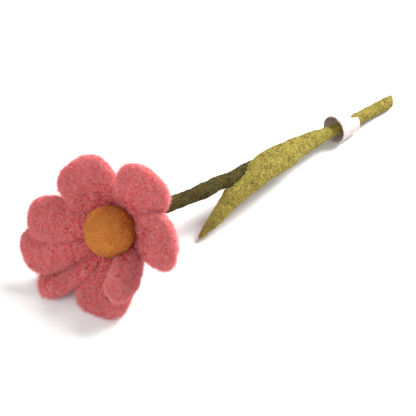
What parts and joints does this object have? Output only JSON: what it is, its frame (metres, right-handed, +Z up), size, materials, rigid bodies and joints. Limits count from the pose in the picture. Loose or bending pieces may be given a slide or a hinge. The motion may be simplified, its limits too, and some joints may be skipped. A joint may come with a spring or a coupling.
{
  "type": "felt anemone flower",
  "caption": "Needle-felted wool anemone on a wool-covered wire stem, with one clasping leaf and a loose paper cuff, lying on its side.",
  "frame": {"origin": "middle of the flower's bounding box, at the level of the surface it lies on", "axes": "+X along the stem from the flower head to the cut end, +Z up away from the surface, the flower faces towards -X and up"},
  "size_m": [0.2968, 0.0886, 0.0874],
  "materials": {
    "petal_wool": "needle-felted coral red wool with a pale fuzzy edge",
    "centre_wool": "tight ochre orange felt ball with swirling fibres",
    "stem_wool": "dark olive wool wound round the wire, slightly looped",
    "leaf_wool": "yellow-green felted wool with darker flecks",
    "band_paper": "smooth pale pink-white paper",
    "wire": "bare florist wire, hidden inside the wool"
  },
  "bodies": {
    "root": {"flower_centre": "centre_wool", "petal_hub": "petal_wool", "petal_inner": "petal_wool", "petal_upper_right": "petal_wool", "petal_top": "petal_wool", "petal_upper_left": "petal_wool", "petal_left": "petal_wool", "petal_right": "petal_wool", "petal_lower_left": "petal_wool", "petal_bottom": "petal_wool", "upper_stem": "stem_wool", "stem_wire": "wire", "leaf": "leaf_wool", "paper_band": "band_paper"}
  },
  "joints": []
}
